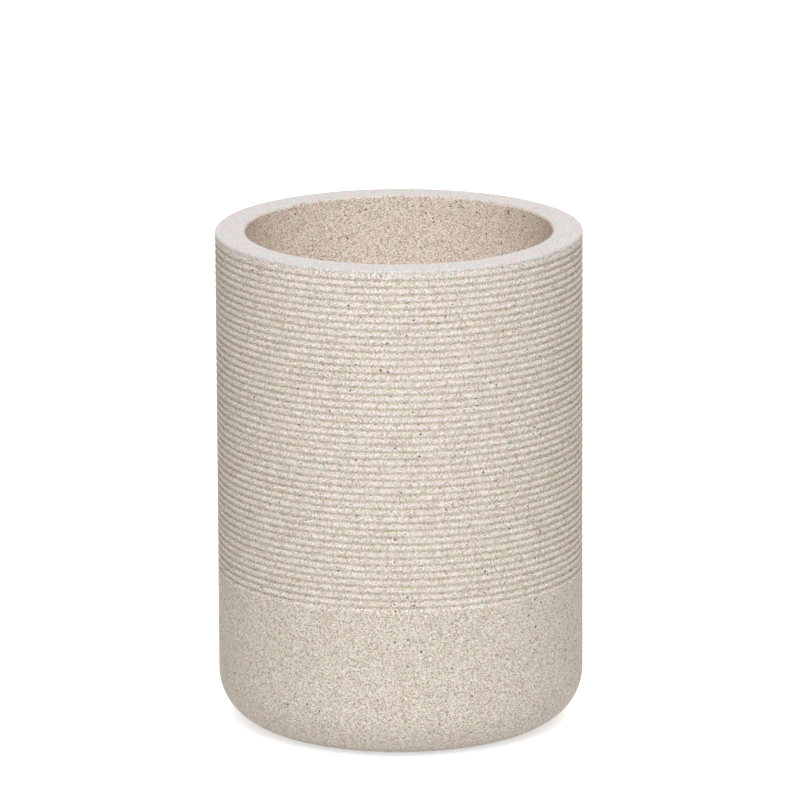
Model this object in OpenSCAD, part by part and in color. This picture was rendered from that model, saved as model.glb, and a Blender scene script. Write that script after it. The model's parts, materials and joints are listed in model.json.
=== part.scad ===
// Bathroom tumbler, cast in one piece from sandstone-look resin.
// The upper wall is finely grooved, the lower band is plain, and the foot has a large round corner.
// A foam pad, held by an adhesive film, sits in a shallow recess in the underside.
// Millimetres, +Z up. The origin is the middle of the pad's underside, on which the cup stands.

/* [Cup body] */
// Outer diameter, over the ribs and over the plain band
body_d = 76; // [60:1:92]
// Height of the casting, from its flat underside to its rim
body_h = 104; // [92:1:130]
// Thickness of the side wall
wall_t = 6.25; // [4:0.25:9]
// Thickness of the floor over the recess
floor_t = 6.5; // [4:0.5:12]
// Radius of the round corner at the foot
foot_r = 10.5; // [5:0.5:16]
// Radius of the corner between the bore and the floor
floor_corner_r = 8; // [3:0.5:14]

/* [Rim] */
// Rounding of the rim's outer edge
rim_outer_r = 0.4; // [0.1:0.02:0.46]
// Rounding of the rim's inner edge
rim_inner_r = 0.6; // [0.3:0.1:1.2]

/* [Grooves] */
// Width of the shallow groove next to the rim
rim_groove_w = 1; // [0.8:0.02:1.16]
// Depth of the shallow groove next to the rim
rim_groove_depth = 0.12; // [0.08:0.02:0.3]
// Drop from the rim to the middle of the first full groove
first_groove_drop = 2.36; // [2.26:0.01:8]
// Number of full grooves round the wall
groove_count = 47; // [20:1:56]
// Distance from one full groove to the next
groove_pitch = 1.492; // [1.45:0.01:1.8]
// Width of a full groove, from the crest above it to the crest below
groove_w = 1.28; // [1.16:0.02:1.44]
// Depth of a full groove
groove_depth = 0.5; // [0.2:0.02:0.56]

/* [Base pad] */
// Diameter of the foam pad
pad_d = 49; // [36:1:50]
// Thickness of the foam pad
pad_t = 1.5; // [1:0.1:2.5]
// Rounding of the pad's lower edge
pad_edge_r = 0.3; // [0.1:0.05:0.5]
// Thickness of the adhesive film
film_t = 0.15; // [0.1:0.05:0.3]
// How far the film stays inside the edge of the pad
film_inset = 0.5; // [0:0.1:2]
// Depth of the recess in the underside of the cup
recess_depth = 1.2; // [0.8:0.1:1.4]
// Gap between the edge of the pad and the wall of the recess
recess_gap = 0.5; // [0.2:0.1:1]

/* [Hidden] */
$fn = 128;

// How far a cut runs past the surface that it opens
overrun = 1;

// Radii of the cup and of what sits under it
body_r = body_d / 2;
bore_r = body_r - wall_t;
pad_r = pad_d / 2;
film_r = pad_r - film_inset;
recess_r = pad_r + recess_gap;

// Heights above the surface that the cup stands on
film_z = pad_t;
recess_roof_z = film_z + film_t;
underside_z = recess_roof_z - recess_depth;
floor_z = recess_roof_z + floor_t;
rim_z = underside_z + body_h;
rim_groove_z = rim_z - rim_outer_r - rim_groove_w / 2;
first_groove_z = rim_z - first_groove_drop;

stone_colour = [0.85, 0.79, 0.71];
foam_colour = [0.88, 0.87, 0.84];
film_colour = [0.95, 0.94, 0.9];

// Half section of a solid of revolution with round outer corners, from height 0 up
module turned_section(radius, height, low_r, high_r) {
    square([radius - low_r, height - high_r]);
    translate([0, low_r]) square([radius - high_r, height - low_r]);
    translate([0, low_r]) square([radius, height - low_r - high_r]);
    translate([radius - low_r, low_r]) circle(r = low_r);
    translate([radius - high_r, height - high_r]) circle(r = high_r);
}

// Section of the space inside the cup: straight bore, round floor corner, open top
module bore_section() {
    translate([0, floor_z]) {
        square([bore_r - floor_corner_r, body_h]);
        translate([0, floor_corner_r]) square([bore_r, body_h]);
        translate([bore_r - floor_corner_r, floor_corner_r]) circle(r = floor_corner_r);
    }
}

// Section that rounds the inner edge of the rim when it is cut away
module rim_inner_cut() {
    translate([bore_r, rim_z - rim_inner_r]) difference() {
        translate([-overrun, 0]) square([overrun + rim_inner_r, rim_inner_r + overrun]);
        translate([rim_inner_r, 0]) circle(r = rim_inner_r);
    }
}

// Section of one groove, centred at height 0: a round hollow up to half the depth, then a bevel to each crest
module groove_section(width, depth) {
    // Half the angle of the hollow's arc, and its radius
    lean = 2 * atan(2 * depth / width);
    hollow_r = width / (4 * sin(lean));
    intersection() {
        translate([body_r - depth + hollow_r, 0]) circle(r = hollow_r);
        translate([body_r - depth, -width / 2]) square([depth / 2, width]);
    }
    translate([body_r - depth / 2, 0]) polygon([
        [0, width / 4],
        [0, -width / 4],
        [depth / 2, -width / 2],
        [depth / 2 + overrun, -width / 2],
        [depth / 2 + overrun, width / 2],
        [depth / 2, width / 2]
    ]);
}

// The casting: wall, floor, foot and rim in one piece
module cup_body() {
    color(stone_colour) rotate_extrude() difference() {
        translate([0, underside_z]) turned_section(body_r, body_h, foot_r, rim_outer_r);
        bore_section();
        rim_inner_cut();
        translate([0, underside_z - overrun]) square([recess_r, recess_depth + overrun]);
        translate([0, rim_groove_z]) groove_section(rim_groove_w, rim_groove_depth);
        for (i = [0 : groove_count - 1])
            translate([0, first_groove_z - i * groove_pitch]) groove_section(groove_w, groove_depth);
    }
}

// Adhesive film between the roof of the recess and the pad
module pad_adhesive() {
    color(film_colour) translate([0, 0, film_z]) cylinder(r = film_r, h = film_t);
}

// Foam disc that keeps the cup from slipping; its underside is the cup's standing face
module base_pad() {
    color(foam_colour) rotate_extrude() intersection() {
        turned_section(pad_r, pad_t + pad_edge_r, pad_edge_r, pad_edge_r);
        square([pad_r, pad_t]);
    }
}

cup_body();
pad_adhesive();
base_pad();
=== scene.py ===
"""Bathroom tumbler cast in sandstone-look resin.

The wall is grooved above a plain band, the rim is thick and flat, and a foam pad sits underneath.
"""
import json
import math

import bmesh
import bpy
from mathutils import Euler, Matrix, Vector


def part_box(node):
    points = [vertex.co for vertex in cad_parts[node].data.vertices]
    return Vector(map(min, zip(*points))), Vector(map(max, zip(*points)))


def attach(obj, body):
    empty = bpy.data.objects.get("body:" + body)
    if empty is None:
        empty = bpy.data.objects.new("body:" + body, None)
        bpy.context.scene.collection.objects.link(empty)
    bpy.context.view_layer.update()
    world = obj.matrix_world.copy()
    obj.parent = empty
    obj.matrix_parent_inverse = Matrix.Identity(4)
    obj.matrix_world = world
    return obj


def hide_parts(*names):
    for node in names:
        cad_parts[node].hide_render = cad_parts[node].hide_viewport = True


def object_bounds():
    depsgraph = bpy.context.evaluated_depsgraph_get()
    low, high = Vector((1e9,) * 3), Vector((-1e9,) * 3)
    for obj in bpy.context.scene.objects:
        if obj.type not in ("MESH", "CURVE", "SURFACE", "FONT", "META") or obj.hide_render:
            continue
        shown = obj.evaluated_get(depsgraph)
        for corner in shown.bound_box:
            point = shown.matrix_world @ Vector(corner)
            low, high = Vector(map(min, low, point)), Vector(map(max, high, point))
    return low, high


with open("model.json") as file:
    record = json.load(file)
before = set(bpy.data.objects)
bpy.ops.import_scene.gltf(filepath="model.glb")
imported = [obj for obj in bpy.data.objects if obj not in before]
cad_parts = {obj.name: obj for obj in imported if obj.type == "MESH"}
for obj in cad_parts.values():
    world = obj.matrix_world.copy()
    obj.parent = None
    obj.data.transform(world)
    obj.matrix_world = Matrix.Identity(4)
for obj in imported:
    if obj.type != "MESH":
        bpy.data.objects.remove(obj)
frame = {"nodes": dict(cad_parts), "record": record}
CAD_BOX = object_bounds()

MM = 0.001

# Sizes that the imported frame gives
CUP_LOW, CUP_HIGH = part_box("cup_body")
PAD_LOW, PAD_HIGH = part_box("base_pad")
MOUTH = next(mount["dims"] for mount in frame["record"]["mounts"] if mount["name"] == "mouth")
BODY_R = CUP_HIGH.x
RIM_Z = CUP_HIGH.z
UNDERSIDE_Z = CUP_LOW.z
BORE_R = MOUTH["r_mm"] * MM
BORE_WALL = MOUTH["length_mm"] * MM
RECESS_ROOF_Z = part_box("pad_adhesive")[1].z

# Roundings and clearances of the casting and the pad
RIM_OUTER_R = 0.4 * MM
RIM_INNER_R = 0.6 * MM
FOOT_R = 10.5 * MM
FLOOR_CORNER_R = 8 * MM
RECESS_GAP = 0.5 * MM
RECESS_LIP_R = 0.25 * MM
PAD_EDGE_R = 0.3 * MM

# Grooves, from the rim down: a shallow one next to the rim, then the full ones
RIM_GROOVE_W = 1.0 * MM
RIM_GROOVE_DEPTH = 0.12 * MM
FIRST_GROOVE_DROP = 2.36 * MM
GROOVE_COUNT = 47
GROOVE_PITCH = 1.492 * MM
GROOVE_W = 1.28 * MM
GROOVE_DEPTH = 0.5 * MM

# Top of the plain band, just under the last groove
BAND_TOP_Z = RIM_Z - FIRST_GROOVE_DROP - (GROOVE_COUNT - 0.5) * GROOVE_PITCH

# How finely the pieces are turned
STEPS_ROUND = 144
SHOULDER_STEPS = 3
HOLLOW_STEPS = 5
FOOT_STEPS = 18
CORNER_STEPS = 12
EDGE_STEPS = 7
WELD = 0.001 * MM
SHARP_EDGE = math.radians(50)

# Sand in the resin, and its mauve and tan patches, each of which fades in over a range of clouding
SAND_SIZE = 0.19 * MM
SAND_RELIEF = 0.04 * MM
SAND_BUMP = 0.2
MAUVE_PATCH = 3 * MM
MAUVE_RANGE = (0.35, 0.65)
TAN_PATCH = 3.5 * MM
TAN_RANGE = (0.55, 0.75)
TAN_SHARE = 0.35

# How far the tan patches are moved, so that they don't follow the mauve ones
TAN_SHIFT = (0.2, 0.1, 0.3)

# Gloss of the resin where it isn't rubbed
STONE_ROUGHNESS = 0.64
STONE_SPECULAR = 0.25

# Dark specks, and the share of their cells that hold one
SPECK_SPACING = 1.3 * MM
SPECK_SIZE = 0.25 * MM
SPECK_COVER = 0.95
SPECKS_INSIDE = 0.7
SPECKS_FEWER_OUTSIDE = 0.4
SPECKS_MORE_ON_BAND = 0.02

# Height over which the grooved wall's tone gives way to the plain band's, which is painted a shade darker
BAND_EDGE = 0.2 * MM

# Rim worn smoother by rubbing, and painted an even pale grey for its sheen: how far below its top both start
# and are full, how much of the stone the painted sheen covers, and how much smoother the rim gets
RUB_AND_SHEEN_START = 0.6 * MM
RUB_AND_SHEEN_FULL = 0.25 * MM
RIM_SHEEN_COVER = 0.5
RUB_SMOOTHING = 0.24

# Cells and patches in the foam, streaks in the film
FOAM_CELL = 0.35 * MM
FOAM_RELIEF = 0.08 * MM
FOAM_BUMP = 0.4
FOAM_PATCH = 5 * MM
FOAM_RANGE = (0.3, 0.7)
FOAM_CELL_COVER = 0.15
FOAM_ROUGHNESS = 0.85
FILM_STREAK = 3 * MM
FILM_ROUGHNESS = 0.35

# Camera: long lens, square to the cup, looking down on it
PICTURE_SIDE = 800
SENSOR = 36
FOCAL_PIXELS = 8281
CAMERA_DISTANCE = 1.71
CAMERA_REACH = 50
DOWN_TO_RIM = math.radians(12.94)
CAMERA_TILT = math.radians(14.125)
CAMERA_TURN = math.radians(0.0023)
CAMERA_ROLL = math.radians(-0.273)

# Studio: a large pale floor a hair under the pad, square lamps, and the tints of their light
WHITE = (1, 1, 1, 1)
FLOOR_SIDE = 8.0
FLOOR_TONE = 0.9
FLOOR_LIFT = 0.64
FLOOR_GAP = 0.02 * MM
SOFTBOX_SIDE = 1.0
SOFTBOX_DISTANCE = 1.5
COOLEST_TINT = (0.94, 0.96, 1.0)
COOL_TINT = (0.95, 0.965, 1.0)
MILD_TINT = (1.0, 0.9, 0.68)
WARM_TINT = (1.0, 0.78, 0.4)


def shade(red, green, blue):
    """A colour as seen on screen, 0 to 255, as the linear colour that a shader takes."""
    linear = [((c / 255 + 0.055) / 1.055) ** 2.4 if c > 10 else c / 255 / 12.92 for c in (red, green, blue)]
    return (*linear, 1.0)


# Nodes


def feed(tree, target, value):
    """Links an input to a socket, or sets it to a plain value."""
    if isinstance(value, bpy.types.NodeSocket):
        tree.links.new(value, target)
    else:
        target.default_value = value


def place(tree, kind, inputs=None, **settings):
    """Adds a node with its settings, and feeds its inputs by name or number."""
    node = tree.nodes.new(kind)
    for name, value in settings.items():
        setattr(node, name, value)
    for name, value in (inputs or {}).items():
        feed(tree, node.inputs[name], value)
    return node


def maths(tree, operation, first, second=0.0):
    """The result of one sum on two values."""
    return place(tree, "ShaderNodeMath", {0: first, 1: second}, operation=operation).outputs[0]


# Sections, as (distance from the axis, height)


def arc(centre_r, centre_z, radius, start, end, steps):
    """Points of an arc from one angle to another, in degrees, 0 outwards and 90 up."""
    turns = [math.radians(start + (end - start) * i / steps) for i in range(steps + 1)]
    return [(centre_r + radius * math.cos(a), centre_z + radius * math.sin(a)) for a in turns]


def groove_sides(height, width, depth):
    """A round hollow between two shoulders of its own radius, centred at a height, from the top down."""
    lean = 2 * math.atan(2 * depth / width)
    bend_r = width / (4 * math.sin(lean))
    lean = math.degrees(lean)
    upper = arc(BODY_R - bend_r, height + width / 2, bend_r, 0, -lean, SHOULDER_STEPS)
    hollow = arc(BODY_R - depth + bend_r, height, bend_r, 180 - lean, 180 + lean, HOLLOW_STEPS)
    lower = arc(BODY_R - bend_r, height - width / 2, bend_r, lean, 0, SHOULDER_STEPS)
    return upper + hollow[1:-1] + lower


def groove_section():
    """One full groove at height 0, from the middle of the crest above to the middle of the one below."""
    sides = groove_sides(0, GROOVE_W, GROOVE_DEPTH)
    return [(BODY_R, GROOVE_PITCH / 2), *sides, (BODY_R, -GROOVE_PITCH / 2)]


def upper_section():
    """Inside floor, floor corner, bore and rim, down to the crest over the first full groove."""
    wall_foot_z = RIM_Z - RIM_INNER_R - BORE_WALL
    points = [(0, wall_foot_z - FLOOR_CORNER_R)]
    points += arc(BORE_R - FLOOR_CORNER_R, wall_foot_z, FLOOR_CORNER_R, -90, 0, CORNER_STEPS)
    points += arc(BORE_R + RIM_INNER_R, RIM_Z - RIM_INNER_R, RIM_INNER_R, 180, 90, EDGE_STEPS)
    points += arc(BODY_R - RIM_OUTER_R, RIM_Z - RIM_OUTER_R, RIM_OUTER_R, 90, 0, EDGE_STEPS)
    rim_groove_z = RIM_Z - RIM_OUTER_R - RIM_GROOVE_W / 2
    points += groove_sides(rim_groove_z, RIM_GROOVE_W, RIM_GROOVE_DEPTH)[1:]
    points.append((BODY_R, RIM_Z - FIRST_GROOVE_DROP + GROOVE_PITCH / 2))
    return points


def lower_section():
    """Plain band below the last groove, round foot, underside and recess for the pad."""
    recess_r = PAD_HIGH.x + RECESS_GAP
    points = [(BODY_R, BAND_TOP_Z)]
    points += arc(BODY_R - FOOT_R, UNDERSIDE_Z + FOOT_R, FOOT_R, 0, -90, FOOT_STEPS)
    points += arc(recess_r + RECESS_LIP_R, UNDERSIDE_Z + RECESS_LIP_R, RECESS_LIP_R, -90, -180, EDGE_STEPS)
    points += [(recess_r, RECESS_ROOF_Z), (0, RECESS_ROOF_Z)]
    return points


def pad_section():
    """Foam disc with a soft lower edge, from the middle of its top to the middle of its underside."""
    radius = PAD_HIGH.x
    points = [(0, PAD_HIGH.z), (radius, PAD_HIGH.z)]
    points += arc(radius - PAD_EDGE_R, PAD_LOW.z + PAD_EDGE_R, PAD_EDGE_R, 0, -90, EDGE_STEPS)
    points.append((0, PAD_LOW.z))
    return points


def outline(name, *sections):
    """An object that holds sections as runs of edges, in the XZ plane."""
    mesh = bpy.data.meshes.new(name)
    points, edges = [], []
    for section in sections:
        first = len(points)
        points += [(r, 0, z) for r, z in section]
        edges += [(i, i + 1) for i in range(first, len(points) - 1)]
    mesh.from_pydata(points, edges, [])
    made = bpy.data.objects.new(name, mesh)
    bpy.context.scene.collection.objects.link(made)
    return made


# The tree that repeats the grooves and turns a section round the axis


def grooved_outline(tree, given):
    """One groove on each point of a line down the wall, joined end to end with the rest of the outline."""
    start = place(tree, "ShaderNodeCombineXYZ", {"Z": given["First Groove Height"]}).outputs[0]
    drop = maths(tree, "MULTIPLY", given["Groove Pitch"], -1.0)
    step = place(tree, "ShaderNodeCombineXYZ", {"Z": drop}).outputs[0]
    spread = {"Count": given["Groove Count"], "Start Location": start, "Offset": step}
    line = place(tree, "GeometryNodeMeshLine", spread)
    groove = place(tree, "GeometryNodeObjectInfo", {"Object": given["Groove"]})
    placed = {"Points": line.outputs["Mesh"], "Instance": groove.outputs["Geometry"]}
    copies = place(tree, "GeometryNodeInstanceOnPoints", placed)
    grooves = place(tree, "GeometryNodeRealizeInstances", {"Geometry": copies.outputs["Instances"]})
    joined = place(tree, "GeometryNodeJoinGeometry", {"Geometry": given["Outline"]})
    tree.links.new(grooves.outputs["Geometry"], joined.inputs["Geometry"])
    welded = {"Geometry": joined.outputs[0], "Distance": given["Weld Distance"]}
    whole = place(tree, "GeometryNodeMergeByDistance", welded)
    return place(tree, "GeometryNodeMeshToCurve", {"Mesh": whole.outputs["Geometry"]}).outputs["Curve"]


def turned_skin(tree, given, curve):
    """A closed skin from a grid whose rows follow the outline and whose columns go round the axis."""
    size = place(tree, "GeometryNodeAttributeDomainSize", {"Geometry": curve}, component="CURVE")
    rows = size.outputs["Point Count"]
    columns = maths(tree, "ADD", given["Steps Round"], 1.0)
    grid = place(tree, "GeometryNodeMeshGrid", {"Vertices X": columns, "Vertices Y": rows})
    index = place(tree, "GeometryNodeInputIndex").outputs[0]
    row = maths(tree, "MODULO", index, rows)
    column = maths(tree, "FLOOR", maths(tree, "DIVIDE", index, rows))
    position = place(tree, "GeometryNodeInputPosition").outputs[0]
    picked = {"Geometry": curve, "Value": position, "Index": row}
    point = place(tree, "GeometryNodeSampleIndex", picked, data_type="FLOAT_VECTOR")
    angle = maths(tree, "MULTIPLY", column, maths(tree, "DIVIDE", 2 * math.pi, given["Steps Round"]))
    turned = {"Vector": point.outputs["Value"], "Angle": angle}
    spun = place(tree, "ShaderNodeVectorRotate", turned, rotation_type="Z_AXIS")
    moved = {"Geometry": grid.outputs["Mesh"], "Position": spun.outputs[0]}
    skin = place(tree, "GeometryNodeSetPosition", moved)
    welded = {"Geometry": skin.outputs[0], "Distance": given["Weld Distance"]}
    return place(tree, "GeometryNodeMergeByDistance", welded).outputs[0]


def dressed_skin(tree, given, skin):
    """The skin in its finish, smooth all over but for sharp corners, such as those of the recess."""
    smooth = place(tree, "GeometryNodeSetShadeSmooth", {"Geometry": skin}, domain="FACE")
    bend = place(tree, "GeometryNodeInputMeshEdgeAngle").outputs["Unsigned Angle"]
    sharp = place(tree, "FunctionNodeCompare", {0: bend, 1: given["Sharp Edge"]}, operation="GREATER_THAN")
    corners = {"Geometry": smooth.outputs[0], "Selection": sharp.outputs[0], "Shade Smooth": False}
    crisp = place(tree, "GeometryNodeSetShadeSmooth", corners, domain="EDGE")
    real = place(tree, "GeometryNodeRealizeInstances", {"Geometry": crisp.outputs[0]})
    finished = {"Geometry": real.outputs[0], "Material": given["Finish"]}
    return place(tree, "GeometryNodeSetMaterial", finished).outputs[0]


def turning_tree():
    """Geometry Nodes: joins the grooves to the outline and turns it into a closed solid."""
    tree = bpy.data.node_groups.new("turned_piece", "GeometryNodeTree")
    sockets = (
        ("Outline", "NodeSocketGeometry"),
        ("Groove", "NodeSocketObject"),
        ("Groove Count", "NodeSocketInt"),
        ("First Groove Height", "NodeSocketFloat"),
        ("Groove Pitch", "NodeSocketFloat"),
        ("Steps Round", "NodeSocketInt"),
        ("Weld Distance", "NodeSocketFloat"),
        ("Sharp Edge", "NodeSocketFloat"),
        ("Finish", "NodeSocketMaterial"),
    )
    for name, kind in sockets:
        tree.interface.new_socket(name, in_out="INPUT", socket_type=kind)
    tree.interface.new_socket("Piece", in_out="OUTPUT", socket_type="NodeSocketGeometry")
    given = place(tree, "NodeGroupInput").outputs
    skin = turned_skin(tree, given, grooved_outline(tree, given))
    place(tree, "NodeGroupOutput", {"Piece": dressed_skin(tree, given, skin)})
    return tree


def turn(name, tree, source, **settings):
    """Runs the turning tree on an outline and returns the result as a plain, closed mesh object."""
    modifier = source.modifiers.new("turn", "NODES")
    modifier.node_group = tree
    identifiers = {item.name: item.identifier for item in tree.interface.items_tree}
    for socket, value in settings.items():
        modifier[identifiers[socket.replace("_", " ").title()]] = value
    bpy.context.view_layer.update()
    evaluated = source.evaluated_get(bpy.context.evaluated_depsgraph_get())
    mesh = bpy.data.meshes.new_from_object(evaluated)
    mesh.name = name
    source.modifiers.remove(modifier)
    bpy.data.objects.remove(source)
    shell = bmesh.new()
    shell.from_mesh(mesh)
    bmesh.ops.recalc_face_normals(shell, faces=shell.faces)
    shell.to_mesh(mesh)
    shell.free()
    piece = bpy.data.objects.new(name, mesh)
    bpy.context.scene.collection.objects.link(piece)
    return piece


# Effects that the finishes use


def effect(name, numbers, results):
    """An empty shader group that takes a place and some numbers; returns it with its given sockets."""
    group = bpy.data.node_groups.new(name, "ShaderNodeTree")
    group.interface.new_socket("Place", in_out="INPUT", socket_type="NodeSocketVector")
    for label in numbers:
        group.interface.new_socket(label, in_out="INPUT", socket_type="NodeSocketFloat")
    for label in results:
        group.interface.new_socket(label, in_out="OUTPUT", socket_type="NodeSocketFloat")
    return group, place(group, "NodeGroupInput").outputs


def packed_cells(group, spot, size):
    """Cells packed side by side: how far their middles are, and random numbers for each cell."""
    scale = maths(group, "DIVIDE", 1.0, size)
    cells = place(group, "ShaderNodeTexVoronoi", {"Vector": spot, "Scale": scale}).outputs
    chance = place(group, "ShaderNodeSeparateColor", {"Color": cells["Color"]}).outputs
    return cells["Distance"], chance


def sand_grains():
    """Grains packed side by side, each with a tone of its own, and the height of their rounded tops."""
    group, given = effect("sand_grains", ["Grain Size"], ["Tone", "Hue", "Height"])
    distance, chance = packed_cells(group, given["Place"], given["Grain Size"])
    height = maths(group, "SUBTRACT", 1.0, distance)
    place(group, "NodeGroupOutput", {"Tone": chance["Red"], "Hue": chance["Green"], "Height": height})
    return group


def scattered_specks():
    """Single specks, each somewhere in its own cell, in a chosen share of the cells."""
    group, given = effect("scattered_specks", ["Spacing", "Speck Size", "Share"], ["Mask"])
    distance, chance = packed_cells(group, given["Place"], given["Spacing"])
    distance = maths(group, "MULTIPLY", distance, given["Spacing"])
    radius = maths(group, "MULTIPLY", given["Speck Size"], chance["Green"])
    inside = maths(group, "LESS_THAN", distance, radius)
    chosen = maths(group, "LESS_THAN", chance["Red"], given["Share"])
    place(group, "NodeGroupOutput", {"Mask": maths(group, "MULTIPLY", inside, chosen)})
    return group


def clouding():
    """Slow change from place to place, centred on one half."""
    group, given = effect("clouding", ["Patch Size"], ["Amount"])
    scale = maths(group, "DIVIDE", 1.0, given["Patch Size"])
    noise = place(group, "ShaderNodeTexNoise", {"Vector": given["Place"], "Scale": scale, "Detail": 3.0})
    place(group, "NodeGroupOutput", {"Amount": noise.outputs["Fac"]})
    return group


def use(tree, group, **inputs):
    """Places an effect in a material, with its own values; returns its outputs."""
    node = place(tree, "ShaderNodeGroup", node_tree=group)
    for name, value in inputs.items():
        feed(tree, node.inputs[name.replace("_", " ").title()], value)
    return node.outputs


def blend(tree, amount, first, second, way="MIX"):
    """Blends a second colour into a first by an amount."""
    node = place(tree, "ShaderNodeMix", data_type="RGBA", blend_type=way)
    values = {"Factor_Float": amount, "A_Color": first, "B_Color": second}
    for target in node.inputs:
        if target.identifier in values:
            feed(tree, target, values[target.identifier])
    return next(socket for socket in node.outputs if socket.identifier == "Result_Color")


def tinted(tree, colour, tint, amount=1.0):
    """A colour multiplied by a tint, wholly or by an amount."""
    return blend(tree, amount, colour, tint, "MULTIPLY")


def ramp(tree, value, *stops):
    """A colour that follows a value through stops of (place, colour)."""
    node = place(tree, "ShaderNodeValToRGB", {"Fac": value})
    marks = node.color_ramp.elements
    middle = 0.5
    while len(marks) < len(stops):
        marks.new(middle)
    for mark, (spot, colour) in zip(marks, stops):
        mark.position = spot
        mark.color = colour
    return node.outputs["Color"]


def fade(tree, value, low, high):
    """0 below low, 1 above high, smooth between."""
    inputs = {"Value": value, "From Min": low, "From Max": high}
    return place(tree, "ShaderNodeMapRange", inputs, interpolation_type="SMOOTHSTEP").outputs["Result"]


# Finishes


def finish_material(name):
    """A new material with one Principled shader; returns it with tree, shader and object coordinates."""
    made = bpy.data.materials.new(name)
    made.use_nodes = True
    tree = made.node_tree
    tree.nodes.clear()
    shader = place(tree, "ShaderNodeBsdfPrincipled")
    place(tree, "ShaderNodeOutputMaterial", {"Surface": shader.outputs["BSDF"]})
    spot = place(tree, "ShaderNodeTexCoord").outputs["Object"]
    return made, tree, shader, spot


def finish(tree, shader, colour, roughness):
    """Gives a shader its colour and roughness."""
    feed(tree, shader.inputs["Base Color"], colour)
    feed(tree, shader.inputs["Roughness"], roughness)


def relief(tree, shader, height, strength, distance):
    """Gives a shader the bump of grains or cells."""
    bump_inputs = {"Height": height, "Strength": strength, "Distance": distance}
    bump = place(tree, "ShaderNodeBump", bump_inputs)
    feed(tree, shader.inputs["Normal"], bump.outputs["Normal"])


def stone_zones(tree, spot):
    """Masks of the outside, the plain band, the crests together with that band, and the rim's rubbing and
    painted sheen.
    """
    apart = place(tree, "ShaderNodeSeparateXYZ", {"Vector": spot}).outputs
    flat = place(tree, "ShaderNodeCombineXYZ", {"X": apart["X"], "Y": apart["Y"]}).outputs[0]
    radius = place(tree, "ShaderNodeVectorMath", {0: flat}, operation="LENGTH").outputs["Value"]
    outer = fade(tree, radius, BORE_R, BORE_R + RIM_INNER_R / 2)
    band = maths(tree, "SUBTRACT", 1.0, fade(tree, apart["Z"], BAND_TOP_Z - BAND_EDGE, BAND_TOP_Z))
    crest = maths(tree, "MAXIMUM", fade(tree, radius, BODY_R - GROOVE_DEPTH, BODY_R), band)
    rubbed_and_sheen = maths(tree, "MULTIPLY", fade(tree, apart["Z"], RIM_Z - RUB_AND_SHEEN_START, RIM_Z - RUB_AND_SHEEN_FULL), outer)
    return outer, band, crest, rubbed_and_sheen


def grain_tone(tree, sand):
    """Colour of the sand, from few dark grains to pale ones, each leaning to pink or to green-grey."""
    tone = ramp(
        tree, sand["Tone"],
        (0.0, shade(141, 125, 107)),
        (0.12, shade(190, 174, 155)),
        (0.55, shade(235, 221, 204)),
        (1.0, shade(255, 252, 243)),
    )
    pink_tint, green_tint = shade(254, 250, 248), shade(251, 252, 251)
    return tinted(tree, tone, blend(tree, sand["Hue"], pink_tint, green_tint))


def patched(tree, tone, spot, clouds, mauve):
    """A tone in patches that lean faintly to mauve or grey, and some to tan."""
    grey_tint, mauve_tint, tan_tint = shade(249, 253, 251), shade(253, 250, 254), shade(255, 246, 226)
    moved = place(tree, "ShaderNodeVectorMath", {0: spot, 1: TAN_SHIFT}, operation="ADD").outputs[0]
    tan = fade(tree, use(tree, clouds, place=moved, patch_size=TAN_PATCH)["Amount"], *TAN_RANGE)
    tone = tinted(tree, tone, blend(tree, mauve, grey_tint, mauve_tint))
    return tinted(tree, tone, tan_tint, maths(tree, "MULTIPLY", tan, TAN_SHARE))


def painted_shade_and_sheen(tree, tone, outer, band, crest):
    """Painted light: the inside painted warmest and brightest for the light that bounces in it, the hollows
    painted olive for their warm shade, the crests and the band painted cool for their sheen, and the band
    painted a shade darker than the ribs.
    """
    painted_inside_bounce, painted_hollow_shade, painted_crest_sheen = shade(255, 252, 254), shade(246, 248, 247), shade(243, 245, 251)
    painted_band_shade = shade(246, 245, 240)
    # Painted shade in the hollows, painted sheen on the crests and the band
    outside = blend(tree, crest, painted_hollow_shade, painted_crest_sheen)
    # Painted bounced light: the inside warmer and brighter than the outside
    tone = tinted(tree, tone, blend(tree, outer, painted_inside_bounce, outside))
    # Painted shade: the plain band a shade darker than the ribs
    return tinted(tree, tone, painted_band_shade, maths(tree, "MULTIPLY", band, outer))


def speckled(tree, tone, spot, specks, outer, band):
    """A tone with dark specks, closest together inside and furthest apart on the ribs."""
    share = maths(tree, "SUBTRACT", SPECKS_INSIDE, maths(tree, "MULTIPLY", outer, SPECKS_FEWER_OUTSIDE))
    share = maths(tree, "ADD", share, maths(tree, "MULTIPLY", band, SPECKS_MORE_ON_BAND))
    dark = use(tree, specks, place=spot, spacing=SPECK_SPACING, speck_size=SPECK_SIZE, share=share)["Mask"]
    dark_brown = shade(50, 41, 36)
    return blend(tree, maths(tree, "MULTIPLY", dark, SPECK_COVER), tone, dark_brown)


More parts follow.
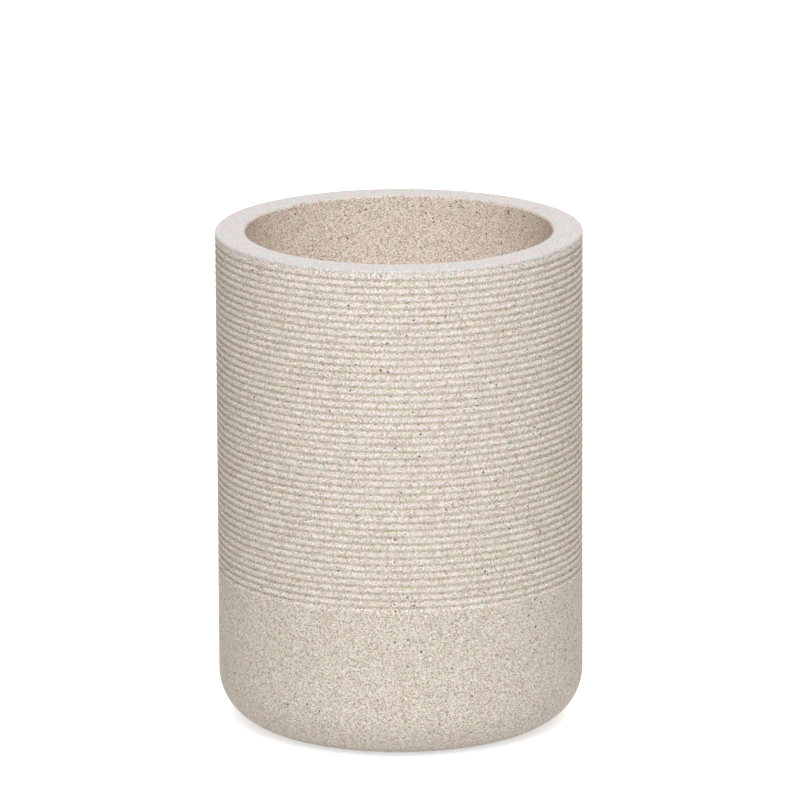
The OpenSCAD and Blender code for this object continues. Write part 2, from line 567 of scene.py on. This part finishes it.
def cast_stone(grains, specks, clouds):
    """Sand and stone powder in resin: beige grains, dark specks, faint patches, painted shade and sheen on
    the wall and inside, and a rim worn smoother by rubbing, with painted sheen.
    """
    made, tree, shader, spot = finish_material("cast_stone_resin")
    sand = use(tree, grains, place=spot, grain_size=SAND_SIZE)
    mauve = fade(tree, use(tree, clouds, place=spot, patch_size=MAUVE_PATCH)["Amount"], *MAUVE_RANGE)
    outer, band, crest, rubbed_and_sheen = stone_zones(tree, spot)
    tone = patched(tree, grain_tone(tree, sand), spot, clouds, mauve)
    tone = painted_shade_and_sheen(tree, tone, outer, band, crest)
    tone = speckled(tree, tone, spot, specks, outer, band)

    # Up to its inner edge, the rim is worn smoother by rubbing, and painted one even pale tone, grey and
    # faintly mauve in patches, for its sheen
    painted_sheen_grey, painted_sheen_mauve = shade(190, 200, 208), shade(208, 193, 204)
    painted_rim_sheen = blend(tree, mauve, painted_sheen_grey, painted_sheen_mauve)
    # Painted sheen: the rim's even pale grey tone
    tone = blend(tree, maths(tree, "MULTIPLY", rubbed_and_sheen, RIM_SHEEN_COVER), tone, painted_rim_sheen)
    smoothing = maths(tree, "MULTIPLY", rubbed_and_sheen, RUB_SMOOTHING)
    finish(tree, shader, tone, maths(tree, "SUBTRACT", STONE_ROUGHNESS, smoothing))
    shader.inputs["Specular IOR Level"].default_value = STONE_SPECULAR
    relief(tree, shader, sand["Height"], SAND_BUMP, SAND_RELIEF)
    return made


def closed_cell_foam(grains, clouds):
    """Soft white foam, die-cut, with fine closed cells in its skin."""
    made, tree, shader, spot = finish_material("eva_foam")
    white_foam, yellowed_foam, cell_shadow = shade(226, 223, 215), shade(216, 212, 203), shade(190, 186, 178)
    cells = use(tree, grains, place=spot, grain_size=FOAM_CELL)
    patch = use(tree, clouds, place=spot, patch_size=FOAM_PATCH)["Amount"]
    colour = blend(tree, fade(tree, patch, *FOAM_RANGE), white_foam, yellowed_foam)
    cell_share = maths(tree, "MULTIPLY", cells["Tone"], FOAM_CELL_COVER)
    colour = blend(tree, cell_share, colour, cell_shadow)
    finish(tree, shader, colour, FOAM_ROUGHNESS)
    relief(tree, shader, cells["Height"], FOAM_BUMP, FOAM_RELIEF)
    return made


def milky_film(clouds):
    """Milky adhesive film with faint streaks."""
    made, tree, shader, spot = finish_material("adhesive_film")
    milky, streaked = shade(232, 230, 220), shade(214, 210, 198)
    streak = use(tree, clouds, place=spot, patch_size=FILM_STREAK)["Amount"]
    colour = blend(tree, streak, milky, streaked)
    finish(tree, shader, colour, FILM_ROUGHNESS)
    return made


# Studio


def background_share(tree):
    """1 where the camera, a reflection or glass sees the surface, 0 where it only lights others."""
    ray = place(tree, "ShaderNodeLightPath").outputs
    seen = maths(tree, "MAXIMUM", ray["Is Camera Ray"], ray["Is Glossy Ray"])
    return maths(tree, "MAXIMUM", seen, ray["Is Transmission Ray"])


def white_room():
    """World that shows as plain white, also in reflections, and leaves the lighting to the lamps."""
    world = bpy.data.worlds.new("white_room")
    bpy.context.scene.world = world
    world.use_nodes = True
    tree = world.node_tree
    tree.nodes.clear()
    sky = place(tree, "ShaderNodeBackground", {"Color": WHITE, "Strength": background_share(tree)})
    place(tree, "ShaderNodeOutputWorld", {"Surface": sky.outputs[0]})


def floor_paint():
    """Pale matt paint that shows as white but for the cup's soft shadow, and is clear from below."""
    paint = bpy.data.materials.new("floor_paint")
    paint.use_nodes = True
    tree = paint.node_tree
    tree.nodes.clear()
    matt = place(tree, "ShaderNodeBsdfDiffuse", {"Color": (FLOOR_TONE, FLOOR_TONE, FLOOR_TONE, 1)})
    lift = maths(tree, "MULTIPLY", background_share(tree), FLOOR_LIFT)
    glow = place(tree, "ShaderNodeEmission", {"Color": WHITE, "Strength": lift})
    both = place(tree, "ShaderNodeAddShader", {0: matt.outputs[0], 1: glow.outputs[0]})
    below = place(tree, "ShaderNodeNewGeometry").outputs["Backfacing"]
    clear = place(tree, "ShaderNodeBsdfTransparent")
    sides = place(tree, "ShaderNodeMixShader", {0: below, 1: both.outputs[0], 2: clear.outputs[0]})
    place(tree, "ShaderNodeOutputMaterial", {"Surface": sides.outputs[0]})
    return paint


def white_floor():
    """Large square floor, a hair under the pad."""
    half = FLOOR_SIDE / 2
    corners = [(-half, -half), (half, -half), (half, half), (-half, half)]
    mesh = bpy.data.meshes.new("floor")
    mesh.from_pydata([(x, y, -FLOOR_GAP) for x, y in corners], [], [(0, 1, 2, 3)])
    mesh.materials.append(floor_paint())
    floor = bpy.data.objects.new("floor", mesh)
    bpy.context.scene.collection.objects.link(floor)


def softbox(name, tint, azimuth, elevation, strength, mirrored=True):
    """Square lamp aimed at the cup's middle, azimuth 0 from the camera's side and 90 from the right."""
    target = (CAD_BOX[0] + CAD_BOX[1]) / 2
    lamp = bpy.data.lights.new(name, "AREA")
    lamp.size = SOFTBOX_SIDE
    lamp.energy = strength
    lamp.color = tint
    placed = bpy.data.objects.new(name, lamp)
    a, e = math.radians(azimuth), math.radians(elevation)
    away = Vector((math.sin(a) * math.cos(e), -math.cos(a) * math.cos(e), math.sin(e)))
    placed.location = target + away * SOFTBOX_DISTANCE
    placed.rotation_euler = away.to_track_quat("Z", "Y").to_euler()
    placed.visible_glossy = mirrored
    bpy.context.scene.collection.objects.link(placed)


def camera():
    """Long lens at the photograph's viewing angle."""
    lens = bpy.data.cameras.new("camera")
    lens.sensor_width = SENSOR
    lens.lens = FOCAL_PIXELS * SENSOR / PICTURE_SIDE
    lens.clip_end = CAMERA_REACH
    placed = bpy.data.objects.new("camera", lens)
    back = Vector((0, -math.cos(DOWN_TO_RIM), math.sin(DOWN_TO_RIM))) * CAMERA_DISTANCE
    aim = Euler((math.pi / 2 - CAMERA_TILT, 0, -CAMERA_TURN)).to_matrix().to_4x4()
    spot = Matrix.Translation(Vector((0, 0, RIM_Z)) + back)
    placed.matrix_world = spot @ aim @ Matrix.Rotation(CAMERA_ROLL, 4, "Z")
    bpy.context.scene.collection.objects.link(placed)
    bpy.context.scene.camera = placed


bpy.context.scene.view_settings.view_transform = "Standard"
camera()
white_room()
white_floor()

# The front and back lamps leave no reflection, which would burn out the flat rim seen from the far side
softbox("front_softbox", COOLEST_TINT, azimuth=0, elevation=40, strength=20.5, mirrored=False)
softbox("high_softbox", COOL_TINT, azimuth=0, elevation=70, strength=8.2)
softbox("left_softbox", WARM_TINT, azimuth=-100, elevation=52, strength=1.6)
softbox("right_back_softbox", MILD_TINT, azimuth=120, elevation=52, strength=4.2)
softbox("back_softbox", COOL_TINT, azimuth=180, elevation=26, strength=7.0, mirrored=False)

grain_effect = sand_grains()
speck_effect = scattered_specks()
cloud_effect = clouding()
stone = cast_stone(grain_effect, speck_effect, cloud_effect)
foam = closed_cell_foam(grain_effect, cloud_effect)
film = milky_film(cloud_effect)

turning = turning_tree()
groove = outline("groove_outline", groove_section())
stone_cup = turn(
    "stone_cup",
    turning,
    outline("cup_outline", upper_section(), lower_section()),
    groove=groove,
    groove_count=GROOVE_COUNT,
    first_groove_height=RIM_Z - FIRST_GROOVE_DROP,
    groove_pitch=GROOVE_PITCH,
    steps_round=STEPS_ROUND,
    weld_distance=WELD,
    sharp_edge=SHARP_EDGE,
    finish=stone,
)
foam_pad = turn(
    "foam_pad",
    turning,
    outline("pad_outline", pad_section()),
    groove_count=0,
    steps_round=STEPS_ROUND,
    weld_distance=WELD,
    sharp_edge=SHARP_EDGE,
    finish=foam,
)
bpy.data.objects.remove(groove)

pieces = (
    (stone_cup, "cup_body", "cast_stone_resin"),
    (foam_pad, "base_pad", "eva_foam"),
)
for piece, node, slot in pieces:
    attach(piece, "root")
    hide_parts(node)

film_disc = frame["nodes"]["pad_adhesive"]
film_disc.data.materials.clear()
film_disc.data.materials.append(film)
